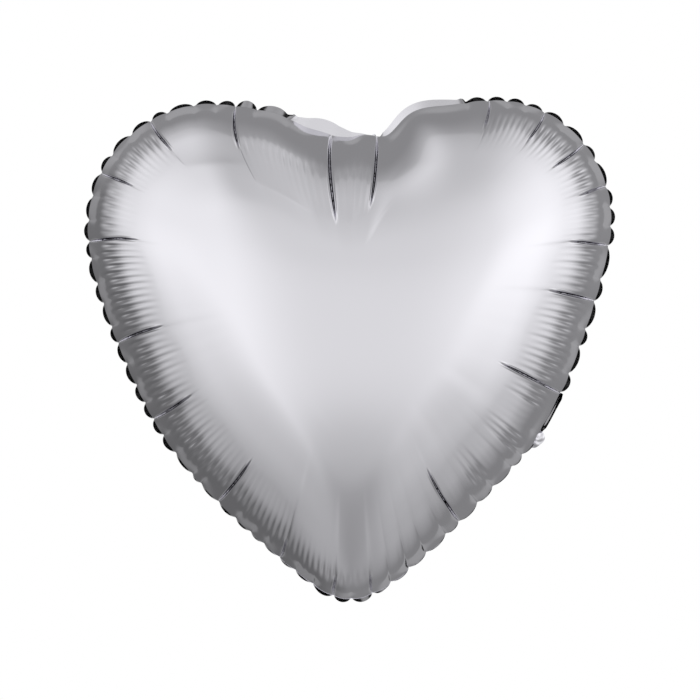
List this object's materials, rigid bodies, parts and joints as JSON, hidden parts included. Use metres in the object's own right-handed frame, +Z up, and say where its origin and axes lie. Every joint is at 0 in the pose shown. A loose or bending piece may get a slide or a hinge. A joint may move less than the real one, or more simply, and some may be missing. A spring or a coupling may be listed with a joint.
{
  "type": "heart-shaped foil balloon",
  "caption": "Inflated heart-shaped balloon of satin silver film, with a welded ruffled seam, an inner flap valve and a filling neck folded behind it.",
  "frame": {"origin": "centre of the inflated balloon's box, on the seam's plane", "axes": "+Z up, towards the cleft; the front face looks along -Y; +X to the right as seen from the front"},
  "size_m": [0.3434, 0.1478, 0.3276],
  "materials": {
    "satin_film": "satin metallised film",
    "welded_film": "satin metallised film, welded and ruffled",
    "clear_film": "clear soft film",
    "release_print": "matt printed patch"
  },
  "bodies": {
    "balloon": {"front_panel": "satin_film", "back_panel": "satin_film", "seam_flange": "welded_film", "root_front_wall": "satin_film", "root_back_wall": "satin_film", "root_side_seals": "welded_film", "valve_root_films": "clear_film", "release_print": "release_print"},
    "valve": {"valve_front_film": "clear_film", "valve_back_film": "clear_film", "valve_edge_seals": "clear_film"},
    "neck": {"neck_back_wall": "satin_film", "neck_front_wall": "satin_film", "neck_side_seals": "welded_film", "neck_valve_films": "clear_film"},
    "tail": {"tail_back_wall": "satin_film", "tail_front_wall": "satin_film", "tail_side_seals": "welded_film"}
  },
  "joints": [
    {"name": "valve_sway", "type": "hinge", "parent": "balloon", "child": "valve", "pos_m": [0.1258, 0, -0.03717], "axis": [-0.4853, 0, -0.8743], "range_deg": [-30, 30]},
    {"name": "neck_fold", "type": "hinge", "parent": "balloon", "child": "neck", "pos_m": [0.13353, 0, -0.04146], "axis": [-0.4853, 0, -0.8743], "range_deg": [0, 100]},
    {"name": "tail_bend", "type": "hinge", "parent": "neck", "child": "tail", "pos_m": [0.11948, 0.03844, -0.03366], "axis": [-0.4853, 0, -0.8743], "range_deg": [0, 60]}
  ]
}
